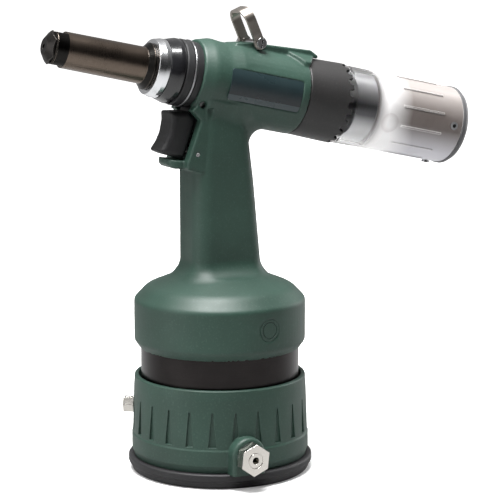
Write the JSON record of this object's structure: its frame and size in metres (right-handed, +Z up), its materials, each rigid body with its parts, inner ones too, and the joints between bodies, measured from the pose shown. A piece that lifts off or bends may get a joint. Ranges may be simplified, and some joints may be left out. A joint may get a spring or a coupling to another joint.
{
  "type": "pneumatic rivet gun",
  "caption": "Hand-held air-over-oil blind rivet gun: round air cylinder base, pistol handle, tilted barrel, long nose, clear mandrel bottle, folding hanger.",
  "frame": {"origin": "on the handle axis, in the plane of the rubber foot's underside", "axes": "+Z up along the handle axis; the nose points to -X, tilted 12 degrees up; the air inlet faces -Y"},
  "size_m": [0.2817, 0.1245, 0.286],
  "materials": {
    "rubber": "matte moulded rubber",
    "steel_plate": "brushed plate",
    "bright_steel": "machined bright steel",
    "felt": "pressed felt",
    "green_plastic": "fine-textured moulded plastic, dark green",
    "nickel": "satin nickel plate",
    "aluminium": "machined",
    "brass": "turned",
    "dark_anodised": "satin dark anodising",
    "label_plastic": "smooth dark label film",
    "black_oxide": "oiled black oxide",
    "gun_metal": "turned gun-metal brown",
    "black_plastic": "matte moulded plastic",
    "black_gloss": "gloss black",
    "chrome": "polished",
    "clear_plastic": "clear moulded plastic",
    "grey_plastic": "satin grey plastic"
  },
  "bodies": {
    "frame": {"base_ring": "rubber", "base_plate": "steel_plate", "base_screws": "bright_steel", "silencer": "felt", "base_housing": "green_plastic", "air_inlet_fitting": "nickel", "inlet_washer": "aluminium", "relief_valve_body": "nickel", "relief_spring": "bright_steel", "cylinder_base": "aluminium", "main_valve_spring": "bright_steel", "air_cylinder": "dark_anodised", "cylinder_head": "aluminium", "ram_gland": "brass", "ram_seal": "rubber", "hydraulic_body": "aluminium", "body_shell": "green_plastic", "nameplate": "label_plastic", "round_plug": "green_plastic", "front_rod_seal": "rubber", "draw_return_spring": "bright_steel", "rear_gland": "aluminium", "pusher_spring": "bright_steel", "front_cap": "black_plastic", "wire_ring": "bright_steel", "lock_nut": "black_gloss", "lock_ring": "aluminium", "nose_sleeve": "gun_metal", "nosepiece": "black_oxide", "trigger_pin": "bright_steel", "stop_pin": "bright_steel", "pilot_valve_body": "brass", "pilot_valve_spring": "bright_steel", "hanger_screw": "chrome", "hanger_nut": "bright_steel", "mandrel_tube": "bright_steel"},
    "trigger": {"trigger": "black_plastic"},
    "pilot_stem": {"pilot_valve_stem": "bright_steel"},
    "main_spool": {"main_valve_spool": "bright_steel"},
    "air_piston": {"air_piston": "aluminium", "piston_seal": "rubber", "piston_nut": "bright_steel", "ram": "bright_steel"},
    "draw_rod": {"draw_piston": "bright_steel", "draw_piston_seal": "rubber", "jaw_coupler": "black_oxide", "jaw_case": "black_oxide"},
    "jaw_1": {"jaw_1": "black_oxide"},
    "jaw_2": {"jaw_2": "black_oxide"},
    "jaw_3": {"jaw_3": "black_oxide"},
    "jaw_pusher": {"jaw_pusher": "bright_steel"},
    "relief_poppet": {"relief_poppet": "brass"},
    "hanger": {"hanger": "nickel"},
    "collar": {"adapter_collar": "black_plastic"},
    "bottle": {"bottle": "clear_plastic", "bottle_insert": "bright_steel", "bottle_end_cap": "grey_plastic", "bottle_screws": "chrome"}
  },
  "joints": [
    {"name": "trigger_pull", "type": "hinge", "parent": "frame", "child": "trigger", "pos_m": [-0.01826, 0, 0.22862], "axis": [0, -1, 0], "range_deg": [0, 5.6], "stiffness_Nm_per_rad": 0.6},
    {"name": "pilot_stem_slide", "type": "slide", "parent": "frame", "child": "pilot_stem", "axis": [1, 0, 0], "range_m": [0, 0.0023], "deforming": ["pilot_valve_spring"]},
    {"name": "main_spool_slide", "type": "slide", "parent": "frame", "child": "main_spool", "axis": [1, 0, 0], "range_m": [0, 0.0051], "deforming": ["main_valve_spring"]},
    {"name": "air_piston_stroke", "type": "slide", "parent": "frame", "child": "air_piston", "axis": [0, 0, 1], "range_m": [0, 0.0575]},
    {"name": "draw_stroke", "type": "slide", "parent": "frame", "child": "draw_rod", "axis": [0.9781, 0, -0.2079], "range_m": [0, 0.01611], "deforming": ["draw_return_spring"]},
    {"name": "jaw_1_grip", "type": "slide", "parent": "draw_rod", "child": "jaw_1", "axis": [-0.9991, 0, 0.0413], "range_m": [0, 0.001]},
    {"name": "jaw_2_grip", "type": "slide", "parent": "draw_rod", "child": "jaw_2", "axis": [-0.947, -0.1449, 0.2868], "range_m": [0, 0.001]},
    {"name": "jaw_3_grip", "type": "slide", "parent": "draw_rod", "child": "jaw_3", "axis": [-0.947, 0.1449, 0.2868], "range_m": [0, 0.001]},
    {"name": "jaw_pusher_slide", "type": "slide", "parent": "draw_rod", "child": "jaw_pusher", "axis": [-0.9781, 0, 0.2079], "range_m": [0, 0.001], "deforming": ["pusher_spring"]},
    {"name": "relief_poppet_slide", "type": "slide", "parent": "frame", "child": "relief_poppet", "axis": [-0.829, 0.5592, 0], "range_m": [0, 0.001], "deforming": ["relief_spring"]},
    {"name": "hanger_swing", "type": "hinge", "parent": "frame", "child": "hanger", "pos_m": [0.0224, 0, 0.26404], "axis": [0, 1, 0], "range_deg": [-40, 100]},
    {"name": "collar_turn", "type": "hinge", "parent": "frame", "child": "collar", "pos_m": [0.05869, 0, 0.22893], "axis": [-0.9781, 0, 0.2079], "range_deg": [0, 60]},
    {"name": "bottle_turn", "type": "hinge", "parent": "collar", "child": "bottle", "pos_m": [0.07825, 0, 0.22477], "axis": [-0.9781, 0, 0.2079], "range_deg": [0, 90]}
  ],
  "couplings": [
    {"joint": "pilot_stem_slide", "follows": "trigger_pull", "m_per_rad": 0.0225},
    {"joint": "main_spool_slide", "follows": "trigger_pull", "m_per_rad": 0.049},
    {"joint": "draw_stroke", "follows": "air_piston_stroke", "ratio": 0.27841},
    {"joint": "jaw_2_grip", "follows": "jaw_1_grip", "ratio": 1},
    {"joint": "jaw_3_grip", "follows": "jaw_1_grip", "ratio": 1},
    {"joint": "jaw_pusher_slide", "follows": "jaw_1_grip", "ratio": 0.986}
  ]
}
